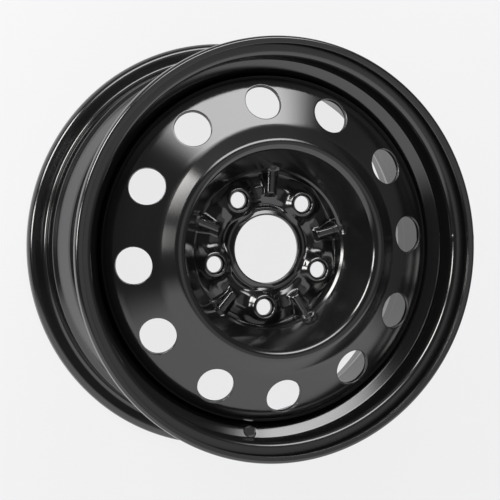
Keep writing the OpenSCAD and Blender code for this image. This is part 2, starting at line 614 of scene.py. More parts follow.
def new_group(name: str, kind: str, inputs: dict[str, object], outputs: Sequence[str],
              result: str = "NodeSocketFloat") -> tuple[Nodes, dict[str, bpy.types.NodeSocket]]:
    """Makes an empty node group with named sockets.

    Args:
        name: The group's name.
        kind: ShaderNodeTree or GeometryNodeTree.
        inputs: Each input's default number, or the type of a socket that has none.
        outputs: The outputs' names.
        result: The outputs' socket type.

    Returns:
        The group's node writer, and its input sockets by name.
    """
    tree = bpy.data.node_groups.new(name, kind)
    for label, value in inputs.items():
        socket = value if isinstance(value, str) else "NodeSocketFloat"
        made = tree.interface.new_socket(label, in_out="INPUT", socket_type=socket)
        if socket != value:
            made.default_value = value
    for label in outputs:
        tree.interface.new_socket(label, in_out="OUTPUT", socket_type=result)
    n = Nodes(tree)
    return n, {s.name: s for s in n.add("NodeGroupInput").outputs}


class Texture(Enum):
    """The small-scale looks that the coats share, one node group each."""

    PEEL = "coat_peel"
    SPUN = "spun_grain"
    DUST = "fine_dust"
    KNURL = "flange_knurl"

    def build(self) -> bpy.types.NodeTree:
        """Builds the look's shader node group.

        Returns:
            The group, which puts out heights and masks only.
        """
        makers = {Texture.PEEL: self._peel, Texture.SPUN: self._spun,
                  Texture.DUST: self._dust, Texture.KNURL: self._knurl}
        return makers[self]()

    def _start(self, outputs: Sequence[str], **numbers: float) -> tuple[Nodes, dict]:
        """Starts a group that reads a place and the given numbers."""
        return new_group(self.value, "ShaderNodeTree", {"Vector": "NodeSocketVector", **numbers}, outputs)

    def _peel(self) -> bpy.types.NodeTree:
        """The coat's soft ripple, and slow clouds.

        Returns:
            The group.
        """
        n, given = self._start(("Height", "Cloud"), Scale=260.0)
        return n.give(Height=n.noise(given["Vector"], given["Scale"], 2.0),
                      Cloud=n.noise(given["Vector"], 14.0, 3.0))

    def _spun(self) -> bpy.types.NodeTree:
        """Fine lines round the axis, as rolling and spinning leave them.

        Returns:
            The group.
        """
        n, given = self._start(("Height",), Lines=900.0)
        radius, z, turn = n.round_axis(given["Vector"])
        rings = n.add("ShaderNodeCombineXYZ", {0: n.math("MULTIPLY", radius, given["Lines"]),
                                               1: n.math("MULTIPLY", z, given["Lines"]), 2: turn})
        return n.give(Height=n.noise(rings.outputs[0], 1.0, 3.0))

    def _dust(self) -> bpy.types.NodeTree:
        """Sparse fine specks that gather in patches.

        Returns:
            The group.
        """
        n, given = self._start(("Mask",), Amount=0.02)
        specks = n.noise(given["Vector"], 900.0, 1.0)
        patch = n.noise(given["Vector"], 9.0, 2.0)
        sharp = n.math("MULTIPLY", n.math("SUBTRACT", specks, 0.68, clamp=True), 9.0, clamp=True)
        return n.give(Mask=n.math("MULTIPLY", n.math("MULTIPLY", sharp, patch), given["Amount"]))

    def _knurl(self) -> bpy.types.NodeTree:
        """A ring of short ticks on the front flange.

        Returns:
            The group.
        """
        n, given = self._start(("Mask", "Height"), Radius=0.1955, Half_Width=0.0035,
                               From_Height=0.036, Ticks=300.0)
        radius, z, turn = n.round_axis(given["Vector"])
        off = n.math("ABSOLUTE", n.math("SUBTRACT", radius, given["Radius"]))
        band = n.math("MULTIPLY", n.math("SUBTRACT", 1.3, n.math("DIVIDE", off, given["Half_Width"])),
                      3.0, clamp=True)
        band = n.math("MULTIPLY", band, n.math("GREATER_THAN", z, given["From_Height"]))
        cell = n.add("ShaderNodeCombineXYZ", {0: n.math("MULTIPLY", turn, given["Ticks"]),
                                              1: n.math("MULTIPLY", radius, 170.0), 2: 0.0})
        ticks = n.noise(cell.outputs[0], 0.45, 2.0)
        return n.give(Mask=band, Height=n.math("MULTIPLY", band, ticks))


@dataclass(frozen=True)
class BlackDip:
    """Gloss black dip coat over steel.

    Args:
        name: The material's name.
        colour: Linear base colour.
        roughness: Roughness of the coat.
        unevenness: How much the roughness wanders over the surface.
        ior: Refractive index of the coat.
        peel: Height of the coat's soft ripple, in millimetres.
        grain: Height of the rolled steel's grain that shows through, in millimetres.
        lines: Grain lines to the metre.
        dust: Share of fine pale specks.
        knurl: Height of the knurled ring on the flange, in millimetres, or 0 for none.
    """

    name: str
    colour: tuple[float, float, float] = (0.0062, 0.0062, 0.0066)
    roughness: float = 0.14
    unevenness: float = 0.04
    ior: float = 1.8
    peel: float = 0.004
    grain: float = 0.002
    lines: float = 900.0
    dust: float = 0.015
    knurl: float = 0.0

    def build(self, textures: dict[Texture, bpy.types.NodeTree]) -> bpy.types.Material:
        """Makes the material.

        Args:
            textures: The shared node groups.

        Returns:
            The material.
        """
        material = bpy.data.materials.new(self.name)
        n = empty_tree(material)
        tree = n.tree
        place = n.add("ShaderNodeTexCoord").outputs["Object"]
        peel, spun, dust = (n.add("ShaderNodeGroup", node_tree=textures[kind])
                            for kind in (Texture.PEEL, Texture.SPUN, Texture.DUST))
        for group in (peel, spun, dust):
            tree.links.new(place, group.inputs["Vector"])
        spun.inputs["Lines"].default_value = self.lines
        dust.inputs["Amount"].default_value = self.dust
        speck = n.add("ShaderNodeMix", {0: dust.outputs["Mask"], 6: (*self.colour, 1.0),
                                        7: (0.35, 0.34, 0.32, 1.0)}, data_type="RGBA")
        wander = n.math("MULTIPLY_ADD", peel.outputs["Cloud"], 2 * self.unevenness,
                        self.roughness - self.unevenness)
        height = n.math("MULTIPLY_ADD", spun.outputs["Height"], self.grain * MM,
                        n.math("MULTIPLY", peel.outputs["Height"], self.peel * MM))
        if self.knurl:
            ticks = n.add("ShaderNodeGroup", {"Vector": place}, node_tree=textures[Texture.KNURL])
            height = n.math("MULTIPLY_ADD", ticks.outputs["Height"], self.knurl * MM, height)
            wander = n.math("MULTIPLY_ADD", ticks.outputs["Mask"], 0.12, wander)
        bump = n.add("ShaderNodeBump", {"Strength": 1.0, "Distance": 1.0, "Height": height})
        shader = n.add("ShaderNodeBsdfPrincipled", {
            "Base Color": speck.outputs[2], "Roughness": n.math("ADD", wander, dust.outputs["Mask"]),
            "Metallic": 0.0, "IOR": self.ior, "Normal": bump.outputs[0]})
        n.end("ShaderNodeOutputMaterial", shader.outputs[0])
        return material


@dataclass
class Rim:
    """The rolled rim: two curled flanges, two bead seats with humps and the drop centre.

    All sizes are in millimetres. Distances u are measured from the rim's middle plane.
    """

    finish: bpy.types.Material
    top_r: float = field(default_factory=lambda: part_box("rim")[1].y / MM)
    front_z: float = field(default_factory=lambda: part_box("rim")[1].z / MM)
    back_z: float = field(default_factory=lambda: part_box("rim")[0].z / MM)
    thick: float = 2.4
    flange_h: float = 17.3
    flange_w: float = 13.0
    lip_drop: float = 6.8
    well_deep: float = 17.3
    seat_run: float = 18.2
    seat_slope: float = 5.0
    lip_bend: float = 4.8
    curl_bend: float = 10.8
    seat_bend: float = 4.2
    seat_end_bend: float = 5.0
    hump_bend: float = 5.0
    wall_deg: float = 60.0
    well_bend: float = 11.6
    well_back_bend: float = 10.0
    step_bend: float = 8.0
    dip_bend: float = 5.0
    back_hump_bend: float = 4.0
    back_seat_end_bend: float = 3.0
    hump_from_front: float = 25.3
    hump_low: float = 0.3
    step_from_back: float = 50.6
    step_deep: float = 9.6
    step_slope: float = 1.04
    dip_from_back: float = 26.9
    dip_deep: float = 5.1
    hump_from_back: float = 22.0
    back_hump_low: float = 0.1
    wall_between: Point2 = (40.0, 90.0)
    columns: int = 225
    valve_r: float = field(default_factory=lambda: mount_value("valve_hole", "r_mm"))
    valve_angle: float = 264.5
    valve_up: float = 11.2
    valve_rings: tuple[Point2, ...] = ((0.0, 0.9), (0.05, 0.55), (0.3, 0.25), (0.9, 0.05), (1.5, 0.0),
                                       (2.1, 0.0))
    seam_angle: float = 3.0
    seam_half: float = 2.4
    seam_high: float = 0.16
    seam_close: Point2 = (2.0, 0.25)
    valve_close: Point2 = (5.0, 0.5)

    def __post_init__(self) -> None:
        """Works the section out from the driving sizes."""
        self.mid_z = (self.front_z + self.back_z) / 2.0
        self.half_w = (self.front_z - self.back_z) / 2.0 - self.flange_w
        self.seat_r = self.top_r - self.flange_h
        self.well_r = self.seat_r - self.well_deep
        self.section = Section(self._corners(), side=1)

    def _flange(self, z: float, way: int) -> list[Corner]:
        """Gives the corners of one flange.

        Args:
            z: Height of the flange's inner side.
            way: 1 for the front flange, -1 for the back one.

        Returns:
            The corners from the lip to the bead seat.
        """
        edge = z + way * self.flange_w
        return [
            Corner(self.top_r - self.lip_drop, edge),
            Corner(self.top_r, edge, self.lip_bend),
            Corner(self.top_r, z, self.curl_bend),
            Corner(self.seat_r, z, self.seat_bend),
        ]

    def _corners(self) -> list[Corner]:
        """The section's corners on the tyre side, from the front lip to the back lip.

        Returns:
            The corners.
        """
        fall = self.seat_run * math.tan(math.radians(self.seat_slope))
        front, back = self.mid_z + self.half_w, self.mid_z - self.half_w
        hump_z, hump_r = front - self.hump_from_front, self.seat_r - self.hump_low
        self.wall_z = hump_z - (hump_r - self.well_r) / math.tan(math.radians(self.wall_deg))
        step_z, step_r = back + self.step_from_back, self.seat_r - self.step_deep
        return [
            *self._flange(front, 1),
            Corner(self.seat_r - fall, front - self.seat_run, self.seat_end_bend),
            Corner(hump_r, hump_z, self.hump_bend),
            Corner(self.well_r, self.wall_z, self.well_bend),
            Corner(self.well_r, step_z + (step_r - self.well_r) * self.step_slope, self.well_back_bend),
            Corner(step_r, step_z, self.step_bend),
            Corner(self.seat_r - self.dip_deep, back + self.dip_from_back, self.dip_bend),
            Corner(self.seat_r - self.back_hump_low, back + self.hump_from_back, self.back_hump_bend),
            Corner(self.seat_r - fall, back + self.seat_run, self.back_seat_end_bend),
            *reversed(self._flange(back, -1)),
        ]

    def _seam(self, r: Array, angle: Array) -> Array:
        """Height of the dressed butt weld that runs across the rim."""
        off = r * np.radians(turn_gap(angle, self.seam_angle)) / self.seam_half
        return self.seam_high * np.exp(-off ** 4)

    def face(self, s: Array, angle: Array) -> Array:
        """Points of the tyre side.

        Args:
            s: Distances along the section.
            angle: Angles round the axis, in degrees.

        Returns:
            The points.
        """
        r, z, nr, nz = self.section.at(s)
        up = np.minimum(self._seam(r, angle), np.maximum(self.top_r - r, 0.0))
        return polar_points(r + nr * up, z + nz * np.minimum(up, 0.0), angle)

    def back(self, s: Array, angle: Array) -> Array:
        """Points of the axle side, one sheet's thickness further in.

        Args:
            s: Distances along the section.
            angle: Angles round the axis, in degrees.

        Returns:
            The points.
        """
        r, z, nr, nz = self.section.at(s)
        down = self.thick + self._seam(r, angle)
        return polar_points(r - nr * down, z - nz * down, angle)

    def _columns(self) -> Array:
        """Spaces the columns of points evenly, and closer at the valve hole and at the seam.

        Returns:
            The rising angles, in degrees.
        """
        angles = list(np.arange(self.columns) * (360.0 / self.columns))
        for middle, (reach, step) in ((self.seam_angle, self.seam_close),
                                      (self.valve_angle, self.valve_close)):
            angles = [a for a in angles if abs(turn_gap(a, middle)) > reach + 0.4 * step]
            angles += [middle + d for d in np.arange(-reach, reach + 0.5 * step, step)]
        return np.array(sorted(a % 360.0 for a in angles))

    def build(self) -> bpy.types.Object:
        """Makes the rim.

        Returns:
            The rim, which stands for its node in the frame.
        """
        s = np.linspace(*self.wall_between, 2000)
        r, z, _, _ = self.section.at(s)
        # The front wall of the drop centre, in which the valve hole is punched.
        wall = (z < self.wall_z + 12.0) & (r < self.seat_r - 1.5)
        low, high = float(s[wall][0]), float(s[r <= self.well_r + 0.02][0])
        mid_r = self.well_r - self.thick + self.valve_up
        s_mid = float(self.section.where(np.array([mid_r]), low, high)[0])
        hole = Hole(
            s=s_mid, angle=self.valve_angle, radius=self.valve_r, rings=self.valve_rings,
            reach=9.6, spread=3.6, lean=-math.sin(math.radians(self.wall_deg)),
            s_of_r=lambda rr: self.section.where(rr, low, high), blend_rings=3)
        rows = self.section.stations(line_step=18.0, arc_step=8.5, extra=s_mid + np.arange(-9.0, 9.1, 1.8))
        sheet = Sheet("rim_shell", rows, self._columns(), self.face, self.back, [hole],
                      roll_back=True)
        rim = sheet.build(edge_round=0.5)
        rim.data.materials.append(self.finish)
        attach(rim, BODY)
        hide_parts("rim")
        return rim


@dataclass
class Disc:
    """The pressed centre disc: skirt, vent field, crown, bowl and the ribbed hub.

    All sizes are in millimetres.
    """

    finish: bpy.types.Material
    thick: float = 4.0
    skirt_r: float = 170.4
    skirt_z: float = field(default_factory=lambda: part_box("disc")[0].z / MM)
    crown_r: float = 104.0
    shoulder_run: float = 18.0
    field_deg: float = 24.0
    shoulder_deg: float = 36.0
    bowl_deg: float = 60.0
    turn_r: float = 162.5
    foot: Point2 = (79.6, 16.2)
    vent_r: float = 144.3
    vent_z: float = 29.55
    vent_radius: float = 18.0
    vent_pairs: int = 6
    vent_first: float = 19.85
    vent_half_gap: float = 14.5
    bore_r: float = field(default_factory=lambda: mount_value("hub_bore", "r_mm"))
    lug_r: float = field(default_factory=lambda: mount_value("wheel_bolts", "pcd_mm") / 2.0)
    lug_hole: float = field(default_factory=lambda: mount_value("wheel_bolts", "hole_r_mm"))
    lug_count: int = 5
    lug_first: float = 50.4
    seat_r: float = 9.9
    boss_z: float = 16.2
    boss_top: float = 11.5
    boss_slope: float = 1.0
    boss_blend: float = 4.6
    boss_top_blend: float = 1.4
    seat_deg: float = 30.0
    seat_blend: float = 0.5
    seat_past_top: float = 3.0
    knoll_deg: float = 20.9
    knoll_r: float = 54.9
    knoll_high: float = 2.3
    knoll_wide: float = 6.2
    knoll_in: float = 44.0
    knoll_out: float = 64.0
    knoll_in_run: float = 5.0
    knoll_out_run: float = 8.0
    pass_deep: float = 2.8
    pass_wide: float = 5.2
    pass_across: float = 7.5
    rib_z: float = 14.4
    rib_half: float = 3.0
    rib_slope: float = 1.73
    rib_in: float = 50.0
    rib_in_run: float = 5.0
    rib_out: float = 81.4
    rib_end_slope: float = 2.0
    rib_blend: float = 1.6
    rib_landing_half: float = 4.2
    landing_in: float = 72.0
    landing_side_slope: float = 3.0
    landing_end_slope: float = 5.0
    landing_blend: float = 0.8
    rib_hollow_in: float = 11.0
    rib_hollow_half: float = 1.1
    boss_hollow_z: float = 9.2
    boss_hollow_half: float = 11.4
    boss_hollow_slope: float = 2.27
    bump_up: float = 5.4
    bump_half: float = 2.4
    bump_in: float = 68.0
    bump_end_slope: float = 2.4
    bump_from: float = 60.0
    bump_blend: float = 1.5
    pad_z: float = 4.0
    blend: float = 2.2
    top_blend: float = 1.2
    hollow_side_blend: float = 1.5
    hollow_top_blend: float = 1.0
    rib_hollow_blend: float = 1.6
    boss_hollow_blend: float = 1.4
    hollow_out: float = 86.0
    columns: int = 240
    first_column: float = 0.35

    def __post_init__(self) -> None:
        """Works the section out from the driving sizes."""
        shoulder_r = self.crown_r + self.shoulder_run
        shoulder_z = self.field_z(shoulder_r)
        up, steep = (math.tan(math.radians(d)) for d in (self.shoulder_deg, self.bowl_deg))
        crown_x = (shoulder_z - self.foot[1] + shoulder_r * up + self.foot[0] * steep) / (steep + up)
        crown_z = self.foot[1] + (crown_x - self.foot[0]) * steep
        p = self.pad_z
        # From the bore's lip over the hub ring, the trough and the bowl to the vent field and the skirt.
        self.section = Section([
            Corner(self.bore_r, p + 6.1),
            Corner(self.bore_r + 1.2, p + 6.5, 0.9),
            Corner(38.2, p + 4.8, 3.0),
            Corner(40.9, p + 4.5, 1.2),
            Corner(43.2, p + 1.1, 1.6),
            Corner(45.2, p + 1.0, 2.5),
            Corner(56.8, p + 6.6, 12.0),
            Corner(72.0, p, 3.0),
            Corner(75.0, p, 1.4),
            Corner(77.2, p + 9.9, 1.6),
            Corner(*self.foot, 2.0),
            Corner(crown_x, crown_z, 8.0),
            Corner(shoulder_r, shoulder_z, 30.0),
            Corner(self.turn_r, self.field_z(self.turn_r), 34.0),
            Corner(self.skirt_r, self.field_z(self.turn_r) - (self.skirt_r - self.turn_r), 9.0),
            Corner(self.skirt_r, self.skirt_z),
        ], side=1)
        # The back of the hub, from the bore to the foot of the bowl.
        self.under = Section([
            Corner(self.bore_r, 6.0), Corner(self.bore_r + 0.9, 3.0, 1.5), Corner(37.0, 1.0, 2.0),
            Corner(44.8, 1.0, 3.0), Corner(56.8, p + 3.0, 9.0), Corner(70.6, 0.0, 2.0),
            Corner(77.4, 0.0, 1.5), Corner(79.2, 7.4, 4.0), Corner(*self._foot_back(), 0.0),
            Corner(self._foot_back()[0] + 3.0, self._foot_back()[1] + 3.0 * steep),
        ], side=1)
        dense = np.linspace(0.0, self.under.length, 6000)
        self.under_r, self.under_z, _, _ = self.under.at(dense)
        # The row just past the bowl's foot, and the row at which the hub's relief ends.
        self.foot_s = float(self.section.where(np.array([self.foot[0] + 1.2]), 0.0, 70.0)[0])
        self.crest_s = self.foot_s + 12.0

    def field_z(self, r: float) -> float:
        """Height of the vent field's cone at a radius."""
        return self.vent_z - (r - self.vent_r) * math.tan(math.radians(self.field_deg))

    def _foot_back(self) -> Point2:
        """Back of the sheet at the foot of the bowl."""
        steep = math.radians(self.bowl_deg)
        return self.foot[0] + self.thick * math.sin(steep), self.foot[1] - self.thick * math.cos(steep)

    def _local(self, r: Array, angle: Array, at: float) -> tuple[Array, Array]:
        """Measures along and across the nearest of as many spokes as there are bolts.

        Args:
            r: Distance from the axis.
            angle: Angle round the axis, in degrees.
            at: Angle of the first of the evenly spaced spokes.

        Returns:
            The distances along and across.
        """
        step = 360.0 / self.lug_count
        off = np.radians((np.asarray(angle) - at + step / 2) % step - step / 2)
        return r * np.cos(off), r * np.sin(off)

    def relief(self, r: Array, base: Array, angle: Array) -> Array:
        """Height of the hub's front face with its ribs, bumps, bosses and nut seats.

        Args:
            r: Distance from the axis.
            base: Height of the plain turned face there.
            angle: Angle round the axis, in degrees.

        Returns:
            The height.
        """
        for side in (-1, 1):
            x, y = self._local(r, angle, self.lug_first + side * self.knoll_deg)
            ridge = np.exp(-(y / self.knoll_wide) ** 2)
            ridge = ridge * np.clip((r - self.knoll_in) / self.knoll_in_run, 0, 1)
            ridge = ridge * np.clip((self.knoll_out - r) / self.knoll_out_run, 0, 1)
            dip = np.exp(-((x - self.knoll_r) / self.pass_wide) ** 2 - (y / self.pass_across) ** 2)
            base = base + self.knoll_high * ridge - self.pass_deep * dip
        x, y = self._local(r, angle, self.lug_first + 180.0 / self.lug_count)
        y = np.abs(y)
        rib = smooth_min(self.rib_z - (y - self.rib_half) * self.rib_slope,
                         self.rib_z - (self.rib_in + self.rib_in_run - x) * self.rib_end_slope,
                         self.rib_blend)
        rib = smooth_min(rib, self.rib_z, self.top_blend)
        z = smooth_max(base, rib, self.blend)
        landing = self.rib_z + np.maximum(y - self.rib_landing_half, 0.0) * self.landing_side_slope
        landing = landing + np.maximum(x - self.rib_out, 0.0) * self.landing_end_slope
        z = np.where(x > self.landing_in, smooth_min(z, landing, self.landing_blend), z)
        x, y = self._local(r, angle, self.lug_first)
        top = self.pad_z + self.bump_up
        bump = smooth_min(top - (np.abs(y) - self.bump_half) * self.rib_slope,
                          top - (self.bump_in - x) * self.bump_end_slope, self.bump_blend)
        bump = smooth_min(bump, top, self.top_blend)
        z = smooth_max(z, np.where(x > self.bump_from, bump, FAR_BELOW), self.blend)
        d = np.hypot(x - self.lug_r, y)
        boss = self.boss_z - (d - self.boss_top) * self.boss_slope
        boss = smooth_min(boss, self.boss_z, self.boss_top_blend)
        z = smooth_max(z, boss, self.boss_blend)
        seat = self.boss_z - (self.seat_r - d) / math.tan(math.radians(self.seat_deg))
        return np.where(d < self.boss_top + self.seat_past_top, smooth_min(z, seat, self.seat_blend), z)

    def hollow(self, r: Array, base: Array, angle: Array) -> Array:
        """Height of the hub's back face with the hollow backs of its ribs and bosses.

        Args:
            r: Distance from the axis.
            base: Height of the plain turned face there.
            angle: Angle round the axis, in degrees.

        Returns:
            The height.
        """
        x, y = self._local(r, angle, self.lug_first + 180.0 / self.lug_count)
        top = self.rib_z - self.thick
        rib = smooth_min(top - (np.abs(y) - self.rib_hollow_half) * self.rib_slope,
                         top - (self.rib_in + self.rib_hollow_in - x) * self.rib_end_slope,
                         self.hollow_side_blend)
        rib = smooth_min(rib, top, self.hollow_top_blend)
        z = smooth_max(base, rib, self.rib_hollow_blend)
        x, y = self._local(r, angle, self.lug_first)
        d = np.hypot(x - self.lug_r, y)
        boss = self.boss_hollow_z - (d - self.boss_hollow_half) * self.boss_hollow_slope
        boss = smooth_min(boss, self.boss_hollow_z, self.hollow_top_blend)
        return smooth_max(z, boss, self.boss_hollow_blend)

    def face(self, s: Array, angle: Array) -> Array:
        """Points of the front face.

        Args:
            s: Distances along the section.
            angle: Angles round the axis, in degrees.

        Returns:
            The points.
        """
        r, z, _, _ = self.section.at(s)
        near = s < self.crest_s
        z = np.where(near, self.relief(r, z, angle), z)
        return polar_points(r, z, angle)

    def back(self, s: Array, angle: Array) -> Array:
        """Points of the back face.

        Args:
            s: Distances along the section.
            angle: Angles round the axis, in degrees.

        Returns:
            The points.
        """
        r, z, nr, nz = self.section.at(s)
        br, bz = r - nr * self.thick, z - nz * self.thick
        # Radii on the front of the hub, and the radii on its back that lie under them.
        edge = [0.0, 70.6, 74.4, 75.6, 77.2, self.foot[0]]
        goes = [0.0, 70.6, 76.2, 77.4, 79.2, self._foot_back()[0]]
        hub_r = np.interp(r, edge, goes)
        hub_z = np.interp(hub_r, self.under_r, self.under_z)
        hub = r < self.foot[0]
        br, bz = np.where(hub, hub_r, br), np.where(hub, hub_z, bz)
        near = s < self.crest_s
        bz = np.where(near & (br < self.hollow_out), self.hollow(br, bz, angle), bz)
        return polar_points(br, bz, angle)

    def _vents(self) -> list[Hole]:
        """The twelve vent holes, with the rolled edge that the punch leaves on the front.

        Returns:
            The holes.
        """
        low = self.section.where(np.array([self.crown_r + 4.0]), self.crest_s, self.crest_s + 45.0)[0]
        s = np.linspace(self.crest_s + 20.0, self.section.length, 4000)
        r = self.section.at(s)[0]
        high = float(s[r >= self.skirt_r - 0.02][0])

        def seek(rr: Array) -> Array:
            """Distance along the section at which the vent field has a radius."""
            return self.section.where(rr, float(low), high)

        lean = math.cos(math.radians(self.field_deg))
        rings = ((0.0, 0.75), (0.04, 0.42), (0.18, 0.18), (0.5, 0.04), (1.0, 0.0), (1.8, 0.0), (3.0, 0.0))
        centre = float(seek(np.array([self.vent_r]))[0])
        step = 360.0 / self.vent_pairs
        return [Hole(s=centre, angle=(self.vent_first + step * pair + side * self.vent_half_gap) % 360.0,
                     radius=self.vent_radius, rings=rings, reach=25.0, spread=11.6, lean=lean,
                     s_of_r=seek, blend_rings=4)
                for pair in range(self.vent_pairs) for side in (-1, 1)]

    def _lugs(self) -> list[Hole]:
        """The five bolt holes, with rings that follow the conical nut seats.

        Returns:
            The holes.
        """

        def seek(rr: Array) -> Array:
            """Distance along the section at which the hub has a radius."""
            return self.section.where(rr, 0.0, self.foot_s)

        outs = (0.0, 0.25, 1.2, 2.1, 2.6, 2.95, 3.4, 4.1, 4.6, 5.1, 5.8, 6.8)
        centre = float(seek(np.array([self.lug_r]))[0])
        step = 360.0 / self.lug_count
        return [Hole(s=centre, angle=(self.lug_first + step * k) % 360.0, radius=self.lug_hole,
                     rings=tuple((out, 0.0) for out in outs), reach=16.8, spread=17.2, lean=1.0,
                     s_of_r=seek, blend_rings=3)
                for k in range(self.lug_count)]

    def _rows(self) -> Array:
        """Rows along the section: close together on the hub, wider on the field.

        Returns:
            Rising distances along the section.
        """
        coarse = self.section.stations(line_step=6.0, arc_step=8.0)
        close = self.section.stations(line_step=1.3, arc_step=12.0, margin=0.3)
        return np.concatenate([close[close < self.foot_s + 3.0], coarse[coarse >= self.foot_s + 3.0]])

    def build(self) -> bpy.types.Object:
        """Makes the disc.

        Returns:
            The disc, which stands for its node in the frame.
        """
        angles = np.arange(self.columns) * (360.0 / self.columns) + self.first_column
        sheet = Sheet("disc_shell", self._rows(), angles, self.face, self.back,
                      self._vents() + self._lugs())
        disc = sheet.build(edge_round=0.25)
        disc.data.materials.append(self.finish)
        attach(disc, BODY)
        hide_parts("disc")
        return disc


@dataclass
class Welds:
    """The runs of corner weld between the disc's skirt and the rim, one rippled bead for each.

    All sizes are in millimetres.
    """

    finish: bpy.types.Material
    corner: Point2
    count: int = 8
    sweep_deg: float = 21.0
    inset: float = 1.15
    thick: float = 1.55
    ripples: float = 30.0

    def _tree(self) -> bpy.types.NodeTree:
        """Builds the node tree: an arc whose thickness ripples, swept to a closed bead.

        Returns:
            The node tree.
        """
        inputs = {"Start": 0.0, "Sweep": 0.3665, "Radius": 0.17, "Height": -0.03, "Thickness": 0.0016,
                  "Ripples": 30.0, "Seed": 0.0, "Coat": "NodeSocketMaterial"}
        n, given = new_group("weld_bead", "GeometryNodeTree", inputs, ("Bead",), "NodeSocketGeometry")
        arc = n.add("GeometryNodeCurveArc", {
            "Resolution": 150, "Radius": given["Radius"], "Start Angle": given["Start"],
            "Sweep Angle": given["Sweep"]}, mode="RADIUS")
        lift = n.add("ShaderNodeCombineXYZ", {2: given["Height"]})
        path = n.add("GeometryNodeSetPosition", {"Geometry": arc.outputs[0], "Offset": lift.outputs[0]})
        along = n.add("GeometryNodeSplineParameter").outputs["Factor"]
        turns = n.math("MULTIPLY", along, given["Ripples"])
        wave = n.math("SINE", n.math("MULTIPLY", turns, 2 * math.pi))
        spot = n.add("ShaderNodeCombineXYZ", {0: n.math("MULTIPLY", turns, 0.4), 1: given["Seed"]})
        drift = n.noise(spot.outputs[0], 1.0, 1.0)
        inward = n.math("MINIMUM", along, n.math("SUBTRACT", 1.0, along))
        taper = n.math("POWER", n.math("MULTIPLY_ADD", inward, 22.0, 0.12, clamp=True), 0.5)
        swell = n.math("ADD", n.math("MULTIPLY_ADD", wave, 0.035, 0.94),
                       n.math("MULTIPLY", drift, 0.12))
        size = n.math("MULTIPLY", n.math("MULTIPLY", swell, taper), given["Thickness"])
        sized = n.add("GeometryNodeSetCurveRadius", {"Curve": path.outputs[0], "Radius": size})
        ring = n.add("GeometryNodeCurvePrimitiveCircle", {"Resolution": 12, "Radius": 1.0}, mode="RADIUS")
        bead = n.add("GeometryNodeCurveToMesh", {"Curve": sized.outputs[0], "Profile Curve": ring.outputs[0],
                                                 "Fill Caps": True})
        if "Scale" in bead.inputs:
            n.tree.links.new(size, bead.inputs["Scale"])
        smooth = n.add("GeometryNodeSetShadeSmooth", {0: bead.outputs[0]})
        real = n.add("GeometryNodeRealizeInstances", {0: smooth.outputs[0]})
        coat = n.add("GeometryNodeSetMaterial", {"Geometry": real.outputs[0], "Material": given["Coat"]})
        return n.give(Bead=coat.outputs[0])

    def build(self) -> list[bpy.types.Object]:
        """Makes the beads.

        Returns:
            One bead for each weld node.
        """
        tree = self._tree()
        return [self._bead(tree, k) for k in range(1, self.count + 1)]

    def _bead(self, tree: bpy.types.NodeTree, k: int) -> bpy.types.Object:
        """Makes one bead.

        Args:
            tree: The beads' node tree.
            k: Number of the weld node that it stands for.

        Returns:
            The bead, as a plain mesh.
        """
        bead = bpy.data.objects.new(f"weld_bead_{k}", bpy.data.meshes.new(f"weld_bead_{k}"))
        bpy.context.scene.collection.objects.link(bead)
        modifier = bead.modifiers.new("bead", "NODES")
        modifier.node_group = tree
        values = {
            "Start": math.radians(360.0 * k / self.count - self.sweep_deg / 2.0),
            "Sweep": math.radians(self.sweep_deg), "Radius": (self.corner[0] - self.inset) * MM,
            "Height": (self.corner[1] - self.inset) * MM, "Thickness": self.thick * MM,
            "Ripples": self.ripples, "Seed": 3.7 * k, "Coat": self.finish}
        for item in tree.interface.items_tree:
            if item.in_out == "INPUT":
                modifier[item.identifier] = values[item.name]
        graph = bpy.context.evaluated_depsgraph_get()
        mesh = bpy.data.meshes.new_from_object(bead.evaluated_get(graph), depsgraph=graph)
        bead.modifiers.remove(modifier)
        bead.data = mesh
        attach(bead, BODY)
        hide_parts(f"weld_{k}")
        return bead


@dataclass(frozen=True)
class Softbox:
    """A lamp behind a white sheet that faces the wheel.

    Args:
        name: The light's name.
        place: Its middle, in metres.
        size: Its two sides, in metres.
        level: Its brightness as seen, where 1 is white.
        colour: Its colour.
        edge: Share of its side over which it fades out.
        roll_deg: Its turn about the line to the wheel.
    """

    name: str
    place: tuple[float, float, float]
    size: Point2
    level: float
    colour: tuple[float, float, float]
    edge: float
    roll_deg: float = 0.0

    def build(self) -> None:
        """Makes the light."""
        data = bpy.data.lights.new(self.name, "AREA")
        n = empty_tree(data)
        across = n.add("ShaderNodeSeparateXYZ", {0: n.add("ShaderNodeNewGeometry").outputs["Parametric"]})
        fades = []
        for u in across.outputs[:2]:
            inward = n.math("MINIMUM", u, n.math("SUBTRACT", 1.0, u))
            fades.append(n.ramp(inward, 0.0, self.edge, 0.0, 1.0, "SMOOTHSTEP"))
        glow = n.add("ShaderNodeEmission", {"Strength": n.math("MULTIPLY", *fades)})
        n.end("ShaderNodeOutputLight", glow.outputs[0])
        data.shape = "RECTANGLE"
        data.size, data.size_y = self.size
        data.color = self.colour
        data.energy = self.level * math.pi * self.size[0] * self.size[1]
        lamp = bpy.data.objects.new(self.name, data)
        bpy.context.scene.collection.objects.link(lamp)
        lamp.location = self.place
        roll = Quaternion((0, 0, 1), math.radians(self.roll_deg))
        lamp.rotation_euler = ((-Vector(self.place)).to_track_quat("-Z", "Y") @ roll).to_euler()
        lamp.visible_camera = False


